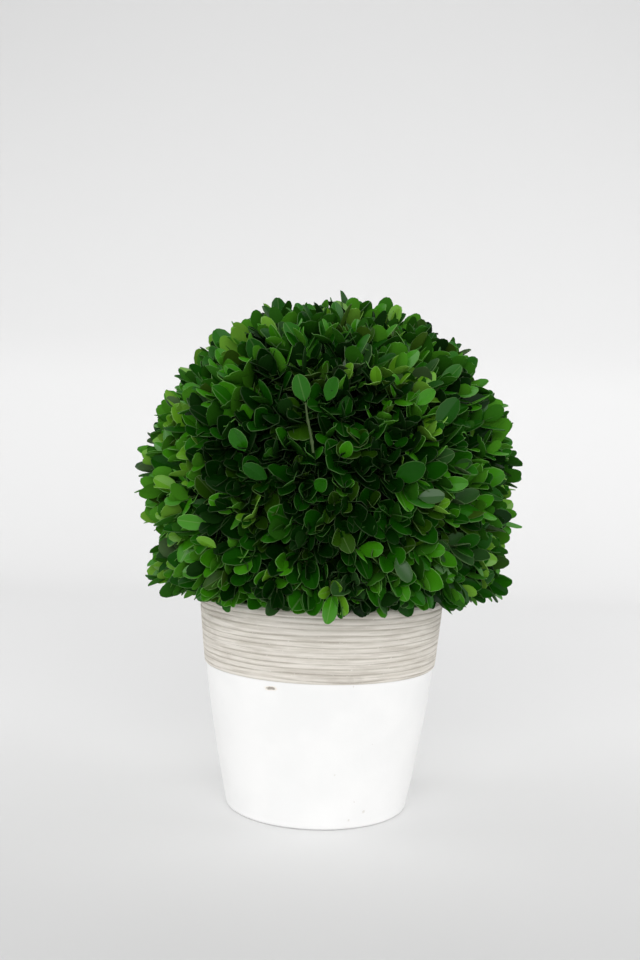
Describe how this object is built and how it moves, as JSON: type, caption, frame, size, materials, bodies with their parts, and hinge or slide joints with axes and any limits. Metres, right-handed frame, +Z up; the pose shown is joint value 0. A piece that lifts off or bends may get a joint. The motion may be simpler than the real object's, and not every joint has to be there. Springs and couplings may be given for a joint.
{
  "type": "box topiary ball in pot",
  "caption": "Box shrub clipped to a ball with a leafy skirt over the rim of its tapered ceramic pot, which has a combed band above a smooth white flank.",
  "frame": {"origin": "centre of the pot's flat underside", "axes": "+Z up through the pot; -Y is the front; the crown's centre lies 3 mm to +X of the pot's axis"},
  "size_m": [0.2695, 0.2678, 0.3629],
  "materials": {
    "pot": "matte white glaze, with an unglazed beige band below the rim",
    "root_ball": "crumbly dark potting mix",
    "stem": "fine grey-brown bark",
    "foliage": "leathery evergreen leaves, satin above"
  },
  "bodies": {
    "root": {"pot": "pot", "root_ball": "root_ball", "stem": "stem", "foliage_ball": "foliage"}
  },
  "joints": []
}
